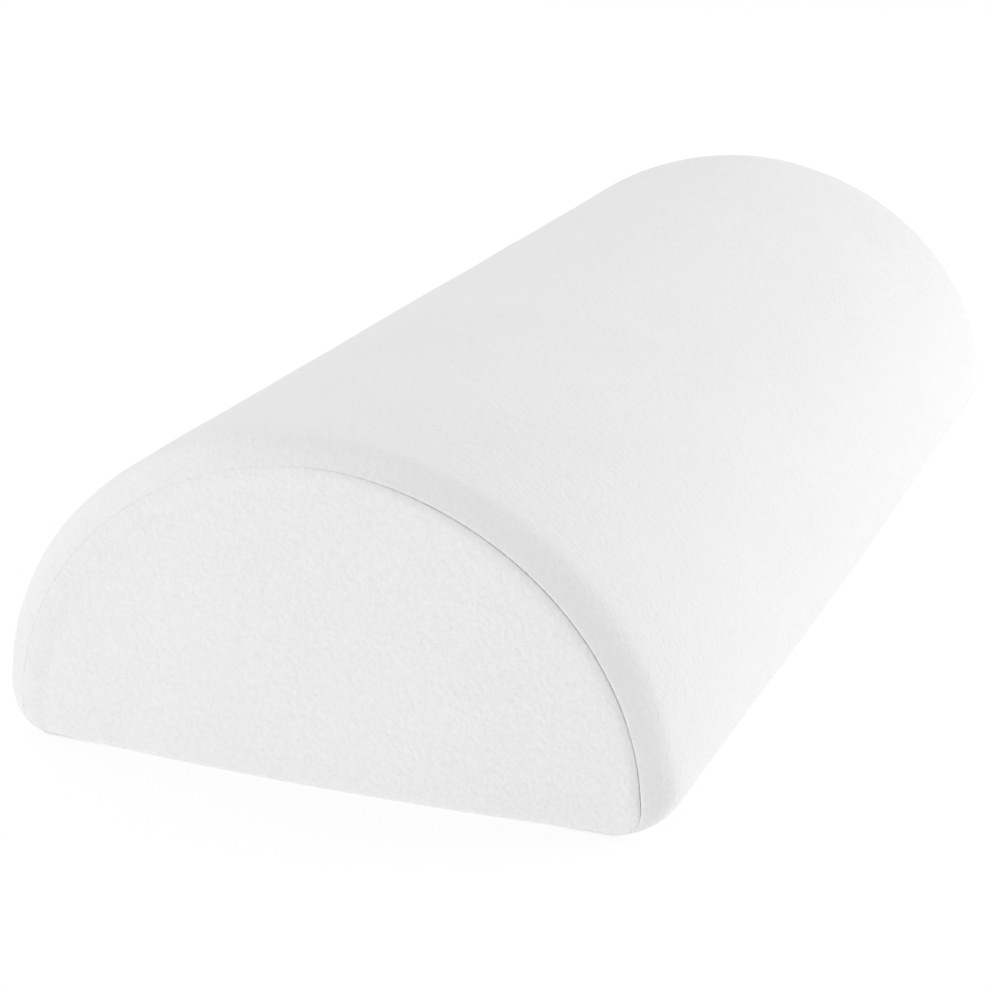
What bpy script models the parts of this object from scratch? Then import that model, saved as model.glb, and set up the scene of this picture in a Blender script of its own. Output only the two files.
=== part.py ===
"""Half-moon bolster pillow: a foam core in a knit liner, inside a removable velour cover.

The base is flat and lies on the floor, the section is a low arch, and both ends are closed by a
half-moon panel set inside a rolled rim. The cover opens with a coil zip along its left long side.

Frame: the origin is the middle of the flat base. +X is the right side, +Y runs along the pillow
from its front end to its rear end, and +Z is up.
"""

import math

import bmesh
import bpy
import numpy as np
from mathutils import Vector

# Driving dimensions, in metres
WIDTH = 0.204  # across the base, over the cover
HEIGHT = 0.0995  # from the base to the crown
LENGTH = 0.450  # over the crowned ends
END_CROWN = 0.0042  # how far an end panel bows out past its rim
ARCH_POWER = 1.943  # 2 is a half ellipse, and less has slightly straighter flanks
BASE_CORNER = 0.012  # radius where the arch meets the base
RIM_ROUND = 0.0145  # how far the rolled rim of an end reaches in from the arch
RIM_POWER = 2.0  # 2 is a round roll, and more is squarer
CORNER_SHARPENING = 0.55  # how fast the base corner tightens round the rim
LEAST_CORNER = 0.003

# Layers, from outside to inside
COVER = 0.0022  # velour with its pile
LINER = 0.0010  # knit liner sewn round the foam
GAP = 0.0003  # running gap between pieces that touch
LINER_DEPTH = COVER + GAP
FOAM_DEPTH = LINER_DEPTH + LINER + GAP

# Seams
SEAM_INSET = 0.0084  # how far inside the arch the end seam lies
THREAD = 0.0005
SEAM_OPENING = THREAD + 2 * GAP  # between the two edges, with the thread between them

# Zip
ZIP_ANGLE = 6.0  # degrees above the widest point, seen from the base corner's centre
ZIP_SETBACK = 0.045  # from each end of the pillow to the slot in the cover
SLOT_CLEARANCE = 0.0006  # from the slider to the slot's edge
TAPE_WIDTH = 0.0112  # each half of the tape
TAPE_THICKNESS = 0.0006
TAPE_OVERRUN = 0.012  # how far the tape runs on past each end of the slot
TAPE_PARTING = 0.0008  # from the middle of the chain to each tape's inner edge
CHAIN_WIDTH = 0.006
CHAIN_THICKNESS = 0.0024
CHAIN_PARTING = 0.0005  # from the middle of the chain to each coil
END_MARGIN = 0.001  # from the slot's end to the first stop
TOP_STOP = 0.002
BOTTOM_STOP = 0.003
STOP_PROUD = 0.0002  # how far a stop stands past the coil
STOP_OVERLAP = 0.0002  # how far a stop reaches in front of the slider's rim
STITCH_OFFSET = 0.0020  # from the slot's edge to its row of stitches
STITCH_OVERRUN = 0.003
BAR_TACK_LENGTH = 0.002
BAR_TACK_PROUD = 0.0005

# Slider and its pull
SLIDER_LENGTH = 0.0115
SLIDER_PLATE = 0.0010
SLIDER_RIM = 0.0009
NECK_LENGTH = 0.0030
BAIL_WIDTH = 0.0016
BAIL_THICKNESS = 0.0008
PULL_LENGTH = 0.022
PULL_WIDTH = 0.0058
PULL_THICKNESS = 0.0012
BAIL_CLEARANCE = 0.0007  # from the bail to each side of the pull's window
PULL_CORNER = 0.0009

# The hollow that the zip presses into the liner and the foam
POCKET_SIDE_ROOM = 0.0018  # from the slider to the edge of its floor
POCKET_FADE = 0.012  # from the floor's edge to full size again
POCKET_END_FADE = 0.010
SLIDER_BACK_ROOM = 0.0005

# Care label, sewn into the rear seam at its top
LABEL_WIDTH = 0.020
LABEL_DROP = 0.030
LABEL_THICKNESS = 0.0006

# Mesh fineness
CORNER_STEPS = 3
ARCH_STEPS = 22
RIM_STEPS = 5  # outlines on each side of the seam
CROWN_SCALES = (1.0, 0.7, 0.4, 0.1)
FADE_STEPS = 3  # round the edges of the zip's pocket

# Worked out from the above
RIM_Y = LENGTH / 2 - END_CROWN  # where the rolled rim ends
SLEEVE_ROLL = (SEAM_INSET - SEAM_OPENING / 2) / RIM_ROUND  # 0 on the body, 1 on the flat end
PANEL_ROLL = (SEAM_INSET + SEAM_OPENING / 2) / RIM_ROUND
SLIDER_HALF = CHAIN_WIDTH / 2 + GAP + SLIDER_RIM
SLOT_HALF = SLIDER_HALF + SLOT_CLEARANCE
STOP_WIDTH = CHAIN_WIDTH + 2 * (GAP + STOP_OVERLAP)
NECK_WIDTH = 2 * (CHAIN_PARTING - GAP)
PULL_WINDOW_WIDTH = BAIL_WIDTH + 2 * BAIL_CLEARANCE
POCKET_FLAT = SLIDER_HALF + POCKET_SIDE_ROOM
ZIP_OPENING = LENGTH - 2 * ZIP_SETBACK
TAPE_LENGTH = ZIP_OPENING + 2 * TAPE_OVERRUN
TAPE_FRONT = COVER + GAP  # depth of the tape's outer face
TAPE_BACK = TAPE_FRONT + TAPE_THICKNESS
COIL_BACK = -(TAPE_FRONT - GAP)  # heights over the cover's outer face
COIL_FRONT = COIL_BACK + CHAIN_THICKNESS
PLATE_BOTTOM = COIL_FRONT + GAP
PLATE_TOP = PLATE_BOTTOM + SLIDER_PLATE
BACK_PLATE_TOP = -(TAPE_BACK + GAP)
BACK_PLATE_BOTTOM = BACK_PLATE_TOP - SLIDER_PLATE
POCKET_DEPTH = -BACK_PLATE_BOTTOM + SLIDER_BACK_ROOM - LINER_DEPTH
POCKET_END = TAPE_LENGTH / 2 + GAP
PULL_SWEEP = PULL_THICKNESS * math.sqrt(0.5)  # radius that the pull's end bar turns in
BAIL_INNER = PULL_SWEEP + GAP
BAIL_OUTER = BAIL_INNER + BAIL_THICKNESS
HINGE_HEIGHT = PLATE_TOP + PULL_SWEEP + GAP
SLIDER_START = -ZIP_OPENING / 2 + END_MARGIN + TOP_STOP + GAP + SLIDER_LENGTH / 2


def clear_scene():
    for old in list(bpy.data.objects):
        bpy.data.objects.remove(old, do_unlink=True)


def new_collection(name):
    collection = bpy.data.collections.new(name)
    bpy.context.scene.collection.children.link(collection)
    return collection


def material(name, colour, roughness, metallic=0.0):
    made = bpy.data.materials.new(name)
    made.use_nodes = True
    shader = made.node_tree.nodes["Principled BSDF"]
    shader.inputs["Base Color"].default_value = (*colour, 1.0)
    shader.inputs["Roughness"].default_value = roughness
    shader.inputs["Metallic"].default_value = metallic
    return made


# The section: half a superellipse grown by the base corner's radius


def arch_point(angle, half, rise):
    """The point of the arch, without its corner radius, whose outward normal has this angle."""
    side = 1.0 if angle < math.pi / 2 else -1.0
    if math.sin(angle) <= 1e-9:
        return side * half, 0.0
    power = ARCH_POWER / (ARCH_POWER - 1)
    across = (half * abs(math.cos(angle))) ** power
    upward = (rise * math.sin(angle)) ** power
    share = across / (across + upward)
    return side * half * share ** (1 / ARCH_POWER), rise * (1 - share) ** (1 / ARCH_POWER)


def section_point(angle, depth=0.0, inset=None):
    """A point of the outline `depth` under the cover's face; a rim's outline is inset further."""
    inset = depth if inset is None else inset
    corner = BASE_CORNER - depth - CORNER_SHARPENING * (inset - depth)
    corner = max(corner, LEAST_CORNER)
    half = WIDTH / 2 - inset - corner
    rise = HEIGHT - inset - depth - 2 * corner
    x, z = arch_point(angle, half, rise)
    return x + corner * math.cos(angle), depth + corner + z + corner * math.sin(angle)


def side_angles():
    """Normal angles of the left side, with the distance of each from the zip's middle."""
    angles = np.radians(np.linspace(90.0, 270.0, 1801))
    points = np.array([section_point(angle) for angle in angles])
    steps = np.hypot(*np.diff(points, axis=0).T)
    run = np.concatenate([[0.0], np.cumsum(steps)])
    middle = np.interp(math.radians(180.0 - ZIP_ANGLE), angles, run)
    return angles, middle - run


SIDE_ANGLES, SIDE_DISTANCES = side_angles()


def angle_at(distance):
    """The normal angle at a distance up the left side from the zip's middle."""
    return float(np.interp(-distance, -SIDE_DISTANCES, SIDE_ANGLES))


def distance_at(angle):
    return float(np.interp(angle, SIDE_ANGLES, SIDE_DISTANCES))


def outline_angles():
    """The normal angles round every outline: right corner, arch, zip zone and left corner."""
    faded = np.linspace(POCKET_FLAT + POCKET_FADE, POCKET_FLAT, FADE_STEPS + 1)
    upper = [*faded, SLOT_HALF / 2]
    zone = [angle_at(distance) for distance in (*upper, *(-d for d in reversed(upper)))]
    corner = np.radians(np.linspace(-90.0, 0.0, CORNER_STEPS + 1))[:-1]
    arch = np.linspace(0.0, zone[0], ARCH_STEPS + 1)[:-1]
    foot = np.linspace(zone[-1], 1.5 * math.pi, CORNER_STEPS)[1:]
    return [*corner, *arch, *zone, *foot]


ANGLES = outline_angles()


def smooth_step(share):
    share = min(max(share, 0.0), 1.0)
    return share * share * (3.0 - 2.0 * share)


def pocket_share(angle):
    """How much of the zip's pocket depth reaches this place of the outline, from 0 to 1."""
    if angle < math.pi / 2:
        return 0.0
    return 1.0 - smooth_step((abs(distance_at(angle)) - POCKET_FLAT) / POCKET_FADE)


def ring(depth, y, inset=None, pocket=0.0, held_back=0.0):
    """One outline in space, pressed in by `pocket` at the zip, its base edge held back in Y."""
    points = []
    for angle in ANGLES:
        x, z = section_point(angle, depth, inset)
        pressed = pocket * pocket_share(angle)
        x -= pressed * math.cos(angle)
        z -= pressed * math.sin(angle)
        points.append(Vector((x, y - held_back * max(0.0, -math.sin(angle)), z)))
    return points


def mirrored(rings):
    """The same outlines at the front end, in order from the front."""
    return [[Vector((p.x, -p.y, p.z)) for p in points] for points in reversed(rings)]


def rim_ring(depth, roll, held_back=0.0):
    """An outline on the rolled rim: roll is 0 on the body and 1 where the end panel is flat."""
    reach = 1.0 - roll
    inset = depth + (RIM_ROUND - depth) * roll
    rise = (1.0 - reach**RIM_POWER) ** (1 / RIM_POWER)
    y = RIM_Y - RIM_ROUND + (RIM_ROUND - depth) * rise
    return ring(depth, y, inset, held_back=held_back)


def crown_ring(depth, scale):
    """An outline on the crowned end panel, shrunk towards the middle of the base edge."""
    y = RIM_Y - depth + END_CROWN * (1.0 - scale * scale)
    centre = Vector((0.0, y, depth))
    return [centre + (point - centre) * scale for point in ring(depth, y, RIM_ROUND)]


def roll_steps(start, finish):
    """Rolls from start to finish, evenly spaced as angles round the rim."""
    first, last = (math.acos((1.0 - roll) ** (RIM_POWER / 2)) for roll in (start, finish))
    return [1.0 - math.cos(turn) ** (2 / RIM_POWER) for turn in np.linspace(first, last, RIM_STEPS)]


def sleeve_end(depth):
    """Outlines of the sleeve's rear rim, from the body to the seam."""
    rolls = roll_steps(0.0, SLEEVE_ROLL)
    return [rim_ring(depth, roll, SEAM_OPENING * roll / SLEEVE_ROLL) for roll in rolls]


def panel_end(depth):
    """Outlines of the rear end panel, from its seam to its middle."""
    seam = [rim_ring(depth, roll) for roll in roll_steps(PANEL_ROLL, 1.0)[:-1]]
    return seam + [crown_ring(depth, scale) for scale in CROWN_SCALES]


def sleeve_rings(depth, pocket=0.0):
    """Outlines along the body, from the front seam to the rear seam."""
    rear = sleeve_end(depth)
    if not pocket:
        return mirrored(rear) + rear
    stations = []
    for step in range(FADE_STEPS + 1):
        share = step / FADE_STEPS
        y = POCKET_END + POCKET_END_FADE * share
        stations.append(ring(depth, y, pocket=pocket * (1.0 - smooth_step(share))))
    return mirrored(rear) + mirrored(stations) + stations + rear


# Making objects


def add_object(name, data, paint=None, parent=None, location=(0, 0, 0), rotation=(0, 0, 0)):
    made = bpy.data.objects.new(name, data)
    made.location = location
    made.rotation_euler = rotation
    made.parent = parent
    if paint:
        data.materials.append(paint)
    PILLOW.objects.link(made)
    return made


def loft(name, rings, paint, cyclic=False):
    """A closed solid through matching outlines, capped at both ends or joined into a tube."""
    mesh = bpy.data.meshes.new(name)
    work = bmesh.new()
    rows = [[work.verts.new(point) for point in points] for points in rings]
    pairs = list(zip(rows, rows[1:]))
    if cyclic:
        pairs.append((rows[-1], rows[0]))
    else:
        work.faces.new(rows[0])
        work.faces.new(rows[-1])
    for row, following in pairs:
        for i in range(len(row)):
            k = (i + 1) % len(row)
            work.faces.new((row[i], row[k], following[k], following[i]))
    bmesh.ops.recalc_face_normals(work, faces=work.faces)
    work.to_mesh(mesh)
    work.free()
    mesh.shade_smooth()
    return add_object(name, mesh, paint)


def box(name, low, high, paint=None, parent=None):
    """A box between two corners, with its origin at its parent's."""
    mesh = bpy.data.meshes.new(name)
    work = bmesh.new()
    bmesh.ops.create_cube(work, size=1.0)
    low, high = Vector(low), Vector(high)
    for vert in work.verts:
        vert.co = Vector(c * s for c, s in zip(vert.co, high - low)) + (low + high) / 2
    work.to_mesh(mesh)
    work.free()
    return add_object(name, mesh, paint, parent)


def plate(name, outline, thickness, paint, parent=None, location=(0, 0, 0), rotation=(0, 0, 0)):
    """A flat outline with half its thickness on each side of its own plane."""
    curve = bpy.data.curves.new(name, "CURVE")
    curve.dimensions = "2D"
    curve.fill_mode = "BOTH"
    curve.extrude = thickness / 2
    spline = curve.splines.new("POLY")
    spline.points.add(len(outline) - 1)
    for point, (x, y) in zip(spline.points, outline):
        point.co = (x, y, 0.0, 1.0)
    spline.use_cyclic_u = True
    return add_object(name, curve, paint, parent, location, rotation)


def wire(name, points, diameter, paint, cyclic=False):
    """A round thread through points in space."""
    curve = bpy.data.curves.new(name, "CURVE")
    curve.dimensions = "3D"
    curve.bevel_depth = diameter / 2
    curve.bevel_resolution = 1
    curve.use_fill_caps = True
    spline = curve.splines.new("POLY")
    spline.points.add(len(points) - 1)
    for place, point in zip(spline.points, points):
        place.co = (*point, 1.0)
    spline.use_cyclic_u = cyclic
    return add_object(name, curve, paint)


def as_mesh(piece):
    """Turn a curve object into a welded mesh object, for a Boolean."""
    graph = bpy.context.evaluated_depsgraph_get()
    mesh = bpy.data.meshes.new_from_object(piece.evaluated_get(graph))
    work = bmesh.new()
    work.from_mesh(mesh)
    bmesh.ops.remove_doubles(work, verts=work.verts, dist=1e-6)
    bmesh.ops.recalc_face_normals(work, faces=work.faces)
    work.to_mesh(mesh)
    work.free()
    name, parent = piece.name, piece.parent
    place, turn = piece.location.copy(), piece.rotation_euler.copy()
    bpy.data.objects.remove(piece)
    mesh.name = name
    made = bpy.data.objects.new(name, mesh)
    made.parent = parent
    made.location = place
    made.rotation_euler = turn
    PILLOW.objects.link(made)
    return made


def combine(target, tool, operation):
    """Cut or join with another object, which becomes a guide."""
    change = target.modifiers.new(f"{operation.lower()} {tool.name}", "BOOLEAN")
    change.operation = operation
    change.solver = "EXACT"
    change.object = tool
    tool.hide_render = True
    tool.display_type = "WIRE"
    PILLOW.objects.unlink(tool)
    CUTTERS.objects.link(tool)


# Soft layers


def make_foam():
    paint = material("memory_foam", (0.93, 0.90, 0.80), 0.95)
    rear = panel_end(FOAM_DEPTH)
    body = sleeve_rings(FOAM_DEPTH, POCKET_DEPTH + GAP)  # the fades twist, so they need more room
    loft("foam_core", mirrored(rear) + body + rear, paint)


def make_sleeve(name, depth, thickness, pocket, paint):
    """The long panel of a cover layer, open at both ends where the end panels are sewn in."""
    inner = sleeve_rings(depth + thickness, pocket)
    return loft(name, sleeve_rings(depth, pocket) + inner[::-1], paint, cyclic=True)


def make_end(name, depth, thickness, at_front, paint):
    """A half-moon end panel, with its edge turned into the rim."""
    outer, inner = panel_end(depth), panel_end(depth + thickness)
    if at_front:
        outer, inner = mirrored(outer)[::-1], mirrored(inner)[::-1]
    loft(name, outer[::-1] + inner, paint)


def make_seam_thread(name, depth, thickness, at_front, paint):
    """The thread that joins an end panel to its sleeve, midway between their edges."""
    rings = [rim_ring(depth + thickness / 2, SEAM_INSET / RIM_ROUND, SEAM_OPENING / 2)]
    if at_front:
        rings = mirrored(rings)
    wire(name, rings[0], THREAD, paint, cyclic=True)


def make_layer(prefix, sleeve, depth, thickness, pocket, paint, thread_paint):
    piece = make_sleeve(f"{prefix}_{sleeve}", depth, thickness, pocket, paint)
    for place, at_front in (("front", True), ("rear", False)):
        make_end(f"{prefix}_end_{place}", depth, thickness, at_front, paint)
        thread = f"{prefix}_seam_thread_{place}"
        make_seam_thread(thread, depth, thickness, at_front, thread_paint)
    return piece


# The zip, in a frame whose X runs up the side, Y along the pillow and Z straight out


def make_zip_frame():
    angle = math.radians(180.0 - ZIP_ANGLE)
    x, z = section_point(angle)
    turn = math.atan2(math.cos(angle), math.sin(angle))
    return add_object("zip_frame", None, location=(x, 0, z), rotation=(0, turn, 0))


def cut_slot(wrap, frame):
    half_length = ZIP_OPENING / 2
    low = (-SLOT_HALF, -half_length, -2 * COVER)
    high = (SLOT_HALF, half_length, COVER)
    combine(wrap, box("zip_slot_cutter", low, high, parent=frame), "DIFFERENCE")


def side_strip(start, finish, depth, thickness):
    """The section of a strip lying against the left side, between two distances from the zip."""
    places = [start, finish]
    for angle in ANGLES:
        distance = distance_at(angle) if angle > math.pi / 2 else math.inf
        if min(start, finish) < distance < max(start, finish):
            places.insert(-1, distance)
    places.sort()
    angles = [angle_at(distance) for distance in places]
    front = [section_point(angle, depth) for angle in angles]
    back = [section_point(angle, depth + thickness) for angle in angles]
    return front + back[::-1]


def make_tapes(paint):
    for name, side in (("upper", 1), ("lower", -1)):
        start = side * TAPE_PARTING
        finish = side * (TAPE_PARTING + TAPE_WIDTH)
        strip = side_strip(start, finish, TAPE_FRONT, TAPE_THICKNESS)
        turn = (math.pi / 2, 0, 0)
        plate(f"zip_tape_{name}", strip, TAPE_LENGTH, paint, rotation=turn)


def make_coils(frame, paint):
    front = -ZIP_OPENING / 2 + END_MARGIN + TOP_STOP + GAP
    rear = ZIP_OPENING / 2 - END_MARGIN - BOTTOM_STOP - GAP
    for name, side in (("upper", 1), ("lower", -1)):
        inner, outer = side * CHAIN_PARTING, side * CHAIN_WIDTH / 2
        low = (min(inner, outer), front, COIL_BACK)
        high = (max(inner, outer), rear, COIL_FRONT)
        coil = box(f"zip_coil_{name}", low, high, paint, frame)
        edge = coil.modifiers.new("rounded edges", "BEVEL")
        edge.width = CHAIN_THICKNESS / 4
        edge.segments = 2


def make_stops(frame, paint):
    front = -ZIP_OPENING / 2 + END_MARGIN
    top = COIL_FRONT + STOP_PROUD
    for name, side in (("upper", 1), ("lower", -1)):
        inner, outer = side * CHAIN_PARTING, side * STOP_WIDTH / 2
        low = (min(inner, outer), front, COIL_BACK)
        high = (max(inner, outer), front + TOP_STOP, top)
        box(f"zip_top_stop_{name}", low, high, paint, frame)
    rear = ZIP_OPENING / 2 - END_MARGIN
    low = (-STOP_WIDTH / 2, rear - BOTTOM_STOP, COIL_BACK)
    box("zip_bottom_stop", low, (STOP_WIDTH / 2, rear, top), paint, frame)


def make_zip_stitches(frame, paint):
    """A row of stitches along each edge of the slot, and a bar tack across each end."""
    reach = ZIP_OPENING / 2 + STITCH_OVERRUN
    height = GAP + THREAD / 2
    for name, side in (("upper", 1), ("lower", -1)):
        x, z = section_point(angle_at(side * (SLOT_HALF + STITCH_OFFSET)), -height)
        points = [Vector((x, end * reach, z)) for end in (-1, 1)]
        wire(f"zip_stitch_{name}", points, THREAD, paint)
    for name, end in (("front", -1), ("rear", 1)):
        near = end * (ZIP_OPENING / 2 + END_MARGIN)
        far = near + end * BAR_TACK_LENGTH
        low = (-SLOT_HALF, min(near, far), GAP)
        high = (SLOT_HALF, max(near, far), GAP + BAR_TACK_PROUD)
        box(f"zip_bar_tack_{name}", low, high, paint, frame)


def slider_outline():
    """The plan of the slider's plates: square shoulders at the front and a narrower rear."""
    half, length, waist = SLIDER_HALF, SLIDER_LENGTH / 2, SLIDER_HALF * 0.86
    corner = SLIDER_RIM
    side = [(half - corner, -length), (half, -length + corner), (half, 0.0), (waist, length)]
    return side + [(-x, y) for x, y in reversed(side)]


def make_slider(frame, paint):
    """Two plates joined by a neck, rims that hold the coils, and a bail for the pull."""
    axis = add_object("zip_slider_axis", None, parent=frame, location=(0, SLIDER_START, 0))
    middle = (PLATE_TOP + PLATE_BOTTOM) / 2
    body = plate("zip_slider", slider_outline(), SLIDER_PLATE, paint, axis, (0, 0, middle))
    body = as_mesh(body)
    body.data.transform(body.matrix_basis)
    body.location = (0, 0, 0)
    low = (BACK_PLATE_TOP + BACK_PLATE_BOTTOM) / 2
    back = plate("slider_back", slider_outline(), SLIDER_PLATE, None, axis, (0, 0, low))
    combine(body, as_mesh(back), "UNION")
    bite = SLIDER_PLATE / 2  # how deep the joined pieces run into the plates
    front = -SLIDER_LENGTH / 2 + SLIDER_RIM
    neck_low = (-NECK_WIDTH / 2, front, BACK_PLATE_TOP - bite)
    neck_high = (NECK_WIDTH / 2, front + NECK_LENGTH, PLATE_BOTTOM + bite)
    combine(body, box("slider_neck", neck_low, neck_high, parent=axis), "UNION")
    for name, side in (("right", 1), ("left", -1)):
        inner, outer = side * (SLIDER_HALF - SLIDER_RIM), side * SLIDER_HALF
        rim_low = (min(inner, outer), front, COIL_BACK)
        rim_high = (max(inner, outer), 0.0, PLATE_BOTTOM + bite)
        combine(body, box(f"slider_rim_{name}", rim_low, rim_high, parent=axis), "UNION")
    combine(body, make_bail(axis, bite), "UNION")
    return axis


def make_bail(axis, bite):
    """A strap arched over the pull's end bar."""
    foot = -(HINGE_HEIGHT - PLATE_TOP + bite)
    turns = [math.pi * k / 8 for k in range(9)]
    outer = [(BAIL_OUTER * math.cos(t), BAIL_OUTER * math.sin(t)) for t in turns]
    inner = [(BAIL_INNER * math.cos(t), BAIL_INNER * math.sin(t)) for t in reversed(turns)]
    arch = [(BAIL_OUTER, foot), *outer, (-BAIL_OUTER, foot)]
    arch += [(-BAIL_INNER, foot), *inner, (BAIL_INNER, foot)]
    turn = (math.pi / 2, 0, math.pi / 2)
    place = (0, 0, HINGE_HEIGHT)
    return as_mesh(plate("slider_bail", arch, BAIL_WIDTH, None, axis, place, turn))


def make_pull(axis, paint):
    """A flat tab whose end bar turns under the bail; its origin is on the bar."""
    bar = PULL_THICKNESS / 2
    half = PULL_WIDTH / 2
    corner = PULL_CORNER
    side = [(half, -bar), (half, PULL_LENGTH - corner), (half - corner, PULL_LENGTH)]
    outline = side + [(-x, y) for x, y in reversed(side)]
    place = (0, 0, HINGE_HEIGHT)
    tab = as_mesh(plate("zip_pull", outline, PULL_THICKNESS, paint, axis, place))
    low = (-PULL_WINDOW_WIDTH / 2, bar, -PULL_THICKNESS)
    high = (PULL_WINDOW_WIDTH / 2, BAIL_OUTER + 2 * GAP, PULL_THICKNESS)
    window = box("pull_window_cutter", low, high, parent=axis)
    window.location = place
    combine(tab, window, "DIFFERENCE")


def make_zip(wrap, stitch_paint):
    frame = make_zip_frame()
    cut_slot(wrap, frame)
    make_tapes(material("zip_tape", (0.90, 0.90, 0.89), 0.85))
    nylon = material("zip_nylon", (0.88, 0.88, 0.87), 0.45)
    make_coils(frame, nylon)
    make_stops(frame, nylon)
    make_zip_stitches(frame, stitch_paint)
    metal = material("zip_metal", (0.80, 0.80, 0.80), 0.30, 1.0)
    axis = make_slider(frame, metal)
    make_pull(axis, metal)


# Care label


def rim_profile(z):
    """How far out the end's surface lies at a height on the middle line of the pillow."""
    flat = HEIGHT - RIM_ROUND
    if z <= flat:
        return RIM_Y + END_CROWN * (1.0 - (z / flat) ** 2)
    reach = 1.0 - (HEIGHT - z) / RIM_ROUND
    return RIM_Y - RIM_ROUND + RIM_ROUND * (1.0 - reach**RIM_POWER) ** (1 / RIM_POWER)


def make_label():
    """A blank folded label whose top edge is caught in the rear seam."""
    top = HEIGHT - SEAM_INSET - SEAM_OPENING
    heights = np.linspace(top, top - LABEL_DROP, 7)
    near = [(rim_profile(z) + GAP, z) for z in heights]
    far = [(y + LABEL_THICKNESS, z) for y, z in near]
    paint = material("label_satin", (0.95, 0.95, 0.94), 0.5)
    turn = (math.pi / 2, 0, math.pi / 2)
    plate("care_label", near + far[::-1], LABEL_WIDTH, paint, rotation=turn)


def main():
    white_thread = material("white_thread", (0.92, 0.92, 0.91), 0.7)
    liner_thread = material("liner_thread", (0.90, 0.90, 0.88), 0.7)
    velour = material("white_velour", (0.90, 0.90, 0.90), 0.95)
    knit = material("liner_knit", (0.93, 0.93, 0.92), 0.9)
    make_foam()
    make_layer("liner", "sleeve", LINER_DEPTH, LINER, POCKET_DEPTH, knit, liner_thread)
    wrap = make_layer("cover", "wrap", 0.0, COVER, 0.0, velour, white_thread)
    make_zip(wrap, white_thread)
    make_label()


clear_scene()
PILLOW = new_collection("bolster_pillow")
CUTTERS = new_collection("cutters")
main()
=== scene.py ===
import math

import bmesh
import bpy
import numpy as np
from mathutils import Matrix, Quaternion, Vector, kdtree, noise


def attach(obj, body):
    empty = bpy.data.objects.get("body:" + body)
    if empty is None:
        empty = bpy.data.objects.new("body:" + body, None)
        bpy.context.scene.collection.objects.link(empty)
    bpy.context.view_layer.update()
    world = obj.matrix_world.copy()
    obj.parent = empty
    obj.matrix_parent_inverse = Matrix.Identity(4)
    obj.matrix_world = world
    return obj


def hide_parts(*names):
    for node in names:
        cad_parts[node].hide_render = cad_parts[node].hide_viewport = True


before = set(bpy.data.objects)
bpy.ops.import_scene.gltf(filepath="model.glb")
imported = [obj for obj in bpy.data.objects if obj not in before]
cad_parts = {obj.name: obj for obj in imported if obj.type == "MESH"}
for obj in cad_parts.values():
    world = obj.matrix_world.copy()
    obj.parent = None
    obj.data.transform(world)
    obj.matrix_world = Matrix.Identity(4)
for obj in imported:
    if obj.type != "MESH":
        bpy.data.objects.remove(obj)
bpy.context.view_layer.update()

# Sizes in metres, as in the part except where noted

WIDTH = 0.204
HEIGHT = 0.0995
END_CROWN = 0.0042  # how far the middle of an end's base edge stands proud of its rim
ARCH_POWER = 1.943
BASE_CORNER = 0.012
RIM_ROUND = 0.0145
RIM_POWER = 2.5  # a little squarer than the part's
CORNER_SHARPENING = 0.55
LEAST_CORNER = 0.003
RIM_Y = 0.2208
SEAM_INSET = 0.0084
SEAM_ROLL = SEAM_INSET / RIM_ROUND

COVER = 0.0022
LINER = 0.0010
GAP = 0.0003
LINER_DEPTH = COVER + GAP
FOAM_DEPTH = LINER_DEPTH + LINER + GAP

ZIP_ANGLE = math.radians(180 - 6)  # the outline's normal angle at the middle of the zip
SLOT_HALF = 0.0048
SLOT_END = 0.180
TAPE_DEPTH = LINER_DEPTH
TAPE_THICKNESS = 0.0006
TAPE_NEAR = 0.0008
TAPE_FAR = 0.0120
TAPE_END = 0.192
TAPE_THIN = 0.008  # past here a tape is a little thinner
COIL_NEAR = 0.00025  # nearer the middle line than the part's, as meshed teeth are
COIL_FAR = 0.0030
COIL_FRONT = -0.1767
COIL_REAR = 0.1757
COIL_TOP = 0.0002
COIL_LOW = -0.0022
COIL_PITCH = 0.00125
COIL_WIRE = 0.00034
STOP_NEAR = 0.0005
STOP_HALF = 0.0035
STOP_TOP = COIL_TOP + 0.0002
TOP_STOP = (-0.179, -0.177)
END_STOP = (0.176, 0.179)
STITCH_ROW = SLOT_HALF + 0.0020
STITCH_END = SLOT_END + 0.003
STITCH = 0.0026
THREAD = 0.0005
TACK_Y = 0.182
TACK_HALF = 0.0044
TACK_WIDTH = 0.0016
TACK_ROWS = 23
LABEL_TOP = 0.0900
LABEL_END = 0.0602
LABEL_HALF = 0.0098
LABEL_PLY = 0.00055
POCKET = 0.0145  # half the height of the foam's relief behind the zip
POCKET_END = 0.19

rng = np.random.default_rng(20)


# Outlines: a station is a normal angle on the arch or a share of the way across the flat base

def section(angles, depth, inset):
    """Points of the arch and its two base corners at these normal angles."""
    corner = max(BASE_CORNER - depth - CORNER_SHARPENING * (inset - depth), LEAST_CORNER)
    half = WIDTH / 2 - inset - corner
    rise = HEIGHT - inset - depth - 2 * corner
    power = ARCH_POWER / (ARCH_POWER - 1)
    across = (half * np.abs(np.cos(angles))) ** power
    upward = (rise * np.maximum(np.sin(angles), 0.0)) ** power
    share = np.where(np.sin(angles) > 1e-9, across / (across + upward + 1e-30), 1.0)
    side = np.where(angles < math.pi / 2, 1.0, -1.0)
    x = side * half * share ** (1 / ARCH_POWER) + corner * np.cos(angles)
    z = rise * (1 - share) ** (1 / ARCH_POWER) + corner * (1 + np.sin(angles)) + depth
    return x, z


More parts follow.
